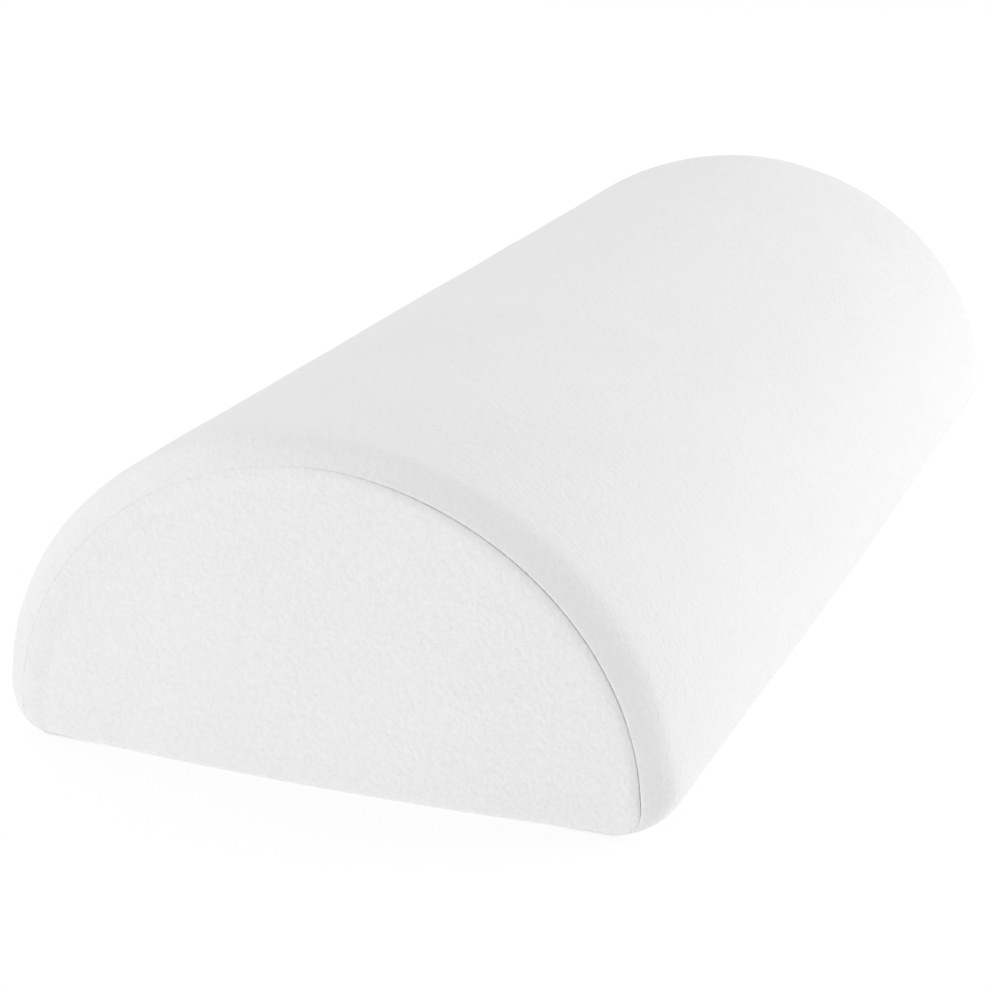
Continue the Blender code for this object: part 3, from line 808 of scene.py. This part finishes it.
def make_tape(name, side):
    """A woven tape, thicker along its chain edge, lying inside the cover."""
    across = np.linspace(TAPE_NEAR, TAPE_FAR, 15)
    along = np.arange(-TAPE_END, TAPE_END + 1e-9, 0.0032)
    thick = TAPE_THICKNESS / 2 * (1 - 0.25 * smooth((across - TAPE_THIN) / 0.003))
    base = -(TAPE_DEPTH + TAPE_THICKNESS / 2)
    front = [wall(side * v, base + half) for v, half in zip(across, thick)]
    back = [wall(side * v, base - half) for v, half in zip(across, thick)]
    outline = np.array(front + back[::-1])
    rings = np.stack([outline + [0, y, 0] for y in along])
    rows, columns = rings.shape[:2]
    faces = [tuple(f) for f in grid_faces(rows, columns)]
    faces.append(tuple(range(columns)))
    faces.append(tuple((rows - 1) * columns + k for k in reversed(range(columns))))
    made = outward(mesh_object(name, rings.reshape(-1, 3), faces))
    return place(made, tape_paint, "root", "zip_tape", f"zip_tape_{name.rsplit('_', 1)[1]}")


COIL_POINTS = 10  # points on each turn


def between(low, high, wave, squareness):
    """Runs between two values as a wave from -1 to 1 does, squarer with a lower power."""
    return (low + high) / 2 + (high - low) / 2 * np.sign(wave) * np.abs(wave) ** squareness


def make_coil(name, side):
    """A nylon monofilament wound into the teeth of one side of the chain."""
    count = int((COIL_REAR - COIL_FRONT - 2 * COIL_WIRE) / COIL_PITCH)
    turns = np.arange(count * COIL_POINTS + 1) / COIL_POINTS
    phase = 2 * math.pi * turns + (0 if side > 0 else math.pi)
    v = between(COIL_NEAR + COIL_WIRE, COIL_FAR - COIL_WIRE, np.cos(phase), 0.8)
    out = between(COIL_LOW + COIL_WIRE, COIL_TOP - COIL_WIRE, np.sin(phase), 0.6)
    rows = np.stack([side * v, COIL_FRONT + COIL_WIRE + turns * COIL_PITCH, out], 1)
    made = tubes(name, [zip_points(rows)], COIL_WIRE, 5)
    return place(made, nylon_paint, "root", "zip_nylon", f"zip_coil_{name.rsplit('_', 1)[1]}")


def rounded_block(name, low, high, radius):
    """A moulded block in the zip's own directions with rounded edges."""
    low, high = np.array(low), np.array(high)
    corners = np.array([[x, y, z] for x in (0, 1) for y in (0, 1) for z in (0, 1)])
    faces = [(0, 1, 3, 2), (4, 6, 7, 5), (0, 4, 5, 1), (2, 3, 7, 6), (0, 2, 6, 4), (1, 5, 7, 3)]
    made = mesh_object(name, zip_points(low + corners * (high - low)), faces)
    edge = made.modifiers.new("edges", "BEVEL")
    edge.width = radius
    edge.segments = 4
    apply_all(made)
    return outward(made)


def make_stops():
    """The moulded stops at the two ends of the chain."""
    for name, low, high in (("upper", STOP_NEAR, STOP_HALF), ("lower", -STOP_HALF, -STOP_NEAR)):
        ends = (low, TOP_STOP[0], COIL_LOW), (high, TOP_STOP[1], STOP_TOP)
        made = rounded_block(f"zip_stop_top_{name}", *ends, 0.0007)
        place(made, nylon_paint, "root", "zip_nylon", f"zip_top_stop_{name}")
    ends = (-STOP_HALF, END_STOP[0], COIL_LOW), (STOP_HALF, END_STOP[1], STOP_TOP)
    made = rounded_block("zip_stop_end", *ends, 0.0008)
    place(made, nylon_paint, "root", "zip_nylon", "zip_bottom_stop")


def make_zip_stitches():
    """The two rows of stitches that hold the tapes, and the bar tacks at the slot's ends."""
    for name, side in (("upper", 1), ("lower", -1)):
        y = np.linspace(-STITCH_END, STITCH_END, 300)
        path = np.tile(wall(side * STITCH_ROW, GAP + THREAD / 2), (len(y), 1))
        path[:, 1] = y
        up = np.tile(ZIP_OUT, (len(y), 1))
        made = tubes(f"zip_stitching_{name}", stitches(path, up, STITCH, 0.0008, 0.0009), THREAD / 2)
        place(made, thread_paint, "root", "thread", f"zip_stitch_{name}")
    for name, end in (("front", -1), ("rear", 1)):
        first = end * TACK_Y - TACK_WIDTH / 2
        last = TACK_ROWS - 1
        rows = [
            ((-1) ** k * TACK_HALF, first + TACK_WIDTH * k / last, 0.00055) for k in range(TACK_ROWS)]
        made = tubes(f"zip_tack_{name}", [dense(zip_points(rows), 4)], 0.00022)
        place(made, thread_paint, "root", "thread", f"zip_bar_tack_{name}")


def dense(points, steps):
    """The same path with more points on each straight."""
    spots = np.linspace(0, len(points) - 1, (len(points) - 1) * steps + 1)
    whole = np.arange(len(points))
    return np.stack([np.interp(spots, whole, points[:, k]) for k in range(3)], 1)


def copy_of(node, name, edge_width):
    """A finer copy of a moulded CAD node, with small rounded edges."""
    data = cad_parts[node].data.copy()
    work = bmesh.new()
    work.from_mesh(data)
    bmesh.ops.remove_doubles(work, verts=work.verts, dist=1e-6)
    bmesh.ops.dissolve_limit(work, angle_limit=math.radians(4), verts=work.verts, edges=work.edges)
    work.to_mesh(data)
    work.free()
    made = bpy.data.objects.new(name, data)
    bpy.context.scene.collection.objects.link(made)
    edge = made.modifiers.new("edges", "BEVEL")
    edge.width = edge_width
    edge.segments = 3
    edge.limit_method = "ANGLE"
    edge.angle_limit = math.radians(40)
    apply_all(made)
    return made


# The care label

def rim_profile(z):
    """The rear end's face on the middle line: its y at a height."""
    flat = HEIGHT - RIM_ROUND
    if z <= flat:
        return RIM_Y + END_CROWN * (1 - (z / flat) ** 2)
    reach = 1 - (HEIGHT - z) / RIM_ROUND
    return RIM_Y - RIM_ROUND + RIM_ROUND * (1 - reach**RIM_POWER) ** (1 / RIM_POWER)


def make_label():
    """A blank folded ribbon whose top edge is caught in the rear seam."""
    heights = np.linspace(LABEL_TOP, LABEL_END, 31)
    drop = (heights[0] - heights) / 0.03
    x = np.linspace(-LABEL_HALF, LABEL_HALF, 25)
    face = np.array([rim_profile(z) for z in heights])
    layers = []
    for out, curled in ((GAP + LABEL_PLY, 1.0), (GAP, 0.8)):
        curl = curled * 0.0007 * drop[:, None] ** 2 * (1 + 0.6 * np.cos(x * 160))[None, :]
        y = (face + out - 0.0002 * (1 - drop))[:, None] + curl
        grid = np.stack([np.broadcast_to(x, y.shape), y, np.broadcast_to(heights[:, None], y.shape)], -1)
        layers.append(grid.reshape(-1, 3))
    rows, columns = len(heights), len(x)
    i, j = np.meshgrid(np.arange(rows - 1), np.arange(columns - 1), indexing="ij")
    k = (i * columns + j).reshape(-1)
    quads = np.stack([k, k + 1, k + columns + 1, k + columns], 1)
    made = shell("care_label_ribbon", layers[0], layers[1], quads)
    return place(made, label_paint, "root", "label", "care_label")


def build():
    wrap = make_wrap("cover_body_cloth", 0.0, COVER, 0.0030, velour, "velour", "cover_wrap", True)
    liner = make_wrap(
        "liner_body_knit", LINER_DEPTH, LINER, 0.006, knit_paint, "knit", "liner_sleeve", False)
    foam = make_foam()
    for end, front in (("front", True), ("rear", False)):
        panel = make_panel(
            f"cover_end_cloth_{end}", 0.0, COVER, 0.0028, end_velour, "velour",
            f"cover_end_{end}", front, True)
        inside = make_panel(
            f"liner_end_knit_{end}", LINER_DEPTH, LINER, 0.006, knit_paint, "knit",
            f"liner_end_{end}", front, False)
        for layer, depth, thickness in (("cover", 0.0, COVER), ("liner", LINER_DEPTH, LINER)):
            paths = seam_paths(depth, thickness, front)
            made = tubes(f"{layer}_seam_stitches_{end}", paths, THREAD / 2)
            place(made, thread_paint, "root", "thread", f"{layer}_seam_thread_{end}")
    for name, side in (("upper", 1), ("lower", -1)):
        tape = make_tape(f"zip_ribbon_{name}", side)
        make_coil(f"zip_teeth_{name}", side)
    make_stops()
    make_zip_stitches()
    slider = copy_of("zip_slider", "zip_slider_body", 0.00022)
    place(slider, enamel_paint, "slider", "zip_metal", "zip_slider")
    pull = copy_of("zip_pull", "zip_pull_tab", 0.00035)
    place(pull, enamel_paint, "pull", "zip_metal", "zip_pull")
    label = make_label()


SETTLED = swell_lookup()
build()


# Camera, floor and light

AZIMUTH, ELEVATION, ROLL = (math.radians(degrees) for degrees in (20.85, 18.79, 0.62))
LENS = 89.0
SENSOR = 36.0
LOOK_AT = Vector((-0.0321, 0.0, 0.0102))
CAMERA_DISTANCE = 0.8814
LIGHT_SIZE = 1.6
LIGHT_DISTANCE = 2.2
FLOOR_HALF = 12.0
FLOOR_ROWS = 13
FLOOR_Z = -0.0004


def place_camera():
    """The camera of the photograph's view."""
    level = math.cos(ELEVATION)
    back = Vector((math.sin(AZIMUTH) * level, -math.cos(AZIMUTH) * level, math.sin(ELEVATION)))
    data = bpy.data.cameras.new("camera")
    data.lens = LENS
    data.sensor_width = SENSOR
    data.clip_start = 0.01
    camera = bpy.data.objects.new("camera", data)
    bpy.context.scene.collection.objects.link(camera)
    camera.location = LOOK_AT + back * CAMERA_DISTANCE
    camera.rotation_mode = "QUATERNION"
    camera.rotation_quaternion = back.to_track_quat("Z", "Y") @ Quaternion((0, 0, 1), ROLL)
    bpy.context.scene.camera = camera


def light(name, direction, strength):
    """A soft square light in this direction; strength is how bright a white card facing it is."""
    data = bpy.data.lights.new(name, "AREA")
    data.shape = "SQUARE"
    data.size = LIGHT_SIZE
    data.energy = strength * math.pi * math.pi * LIGHT_DISTANCE * LIGHT_DISTANCE
    made = bpy.data.objects.new(name, data)
    bpy.context.scene.collection.objects.link(made)
    away = Vector(direction).normalized()
    made.location = Vector((0, 0, 0.05)) + away * LIGHT_DISTANCE
    made.rotation_mode = "QUATERNION"
    made.rotation_quaternion = away.to_track_quat("Z", "Y")
    made.visible_camera = False


def make_floor(glow):
    """A wide pale floor, bright enough to pass for the white studio sweep round the part."""
    x = np.linspace(-FLOOR_HALF, FLOOR_HALF, FLOOR_ROWS)
    grid = np.array([[a, b, FLOOR_Z] for a in x for b in x])
    i, j = np.meshgrid(np.arange(FLOOR_ROWS - 1), np.arange(FLOOR_ROWS - 1), indexing="ij")
    k = (i * FLOOR_ROWS + j).reshape(-1)
    quads = np.stack([k, k + FLOOR_ROWS, k + FLOOR_ROWS + 1, k + 1], 1)
    floor = mesh_object("studio_floor", grid, quads)
    shader = floor_paint.node_tree.nodes["Principled BSDF"]
    shader.inputs["Emission Color"].default_value = (1, 1, 1, 1)
    shader.inputs["Emission Strength"].default_value = glow
    floor.data.materials.append(floor_paint)


def world_light(strength):
    """Even light from all round; the camera sees it as plain white."""
    world = bpy.data.worlds.new("studio")
    world.use_nodes = True
    tree = world.node_tree
    plain, seen = tree.nodes["Background"], tree.nodes.new("ShaderNodeBackground")
    for background, level in ((plain, strength), (seen, 1.0)):
        background.inputs["Strength"].default_value = level
        background.inputs["Color"].default_value = (1, 1, 1, 1)
    path = tree.nodes.new("ShaderNodeLightPath")
    mix = tree.nodes.new("ShaderNodeMixShader")
    tree.links.new(path.outputs["Is Camera Ray"], mix.inputs["Fac"])
    tree.links.new(plain.outputs["Background"], mix.inputs[1])
    tree.links.new(seen.outputs["Background"], mix.inputs[2])
    tree.links.new(mix.outputs["Shader"], tree.nodes["World Output"].inputs["Surface"])
    bpy.context.scene.world = world


place_camera()
make_floor(0.72)
world_light(0.54)
light("left_front", (-0.50, -0.85, 0.25), 0.30)
light("top", (0.0, 0.1, 1.0), 0.17)
light("right", (0.80, 0.58, 0.18), 0.58)
light("left_rear", (-0.75, 0.35, 0.56), 0.16)
bpy.context.scene.view_settings.view_transform = "Standard"
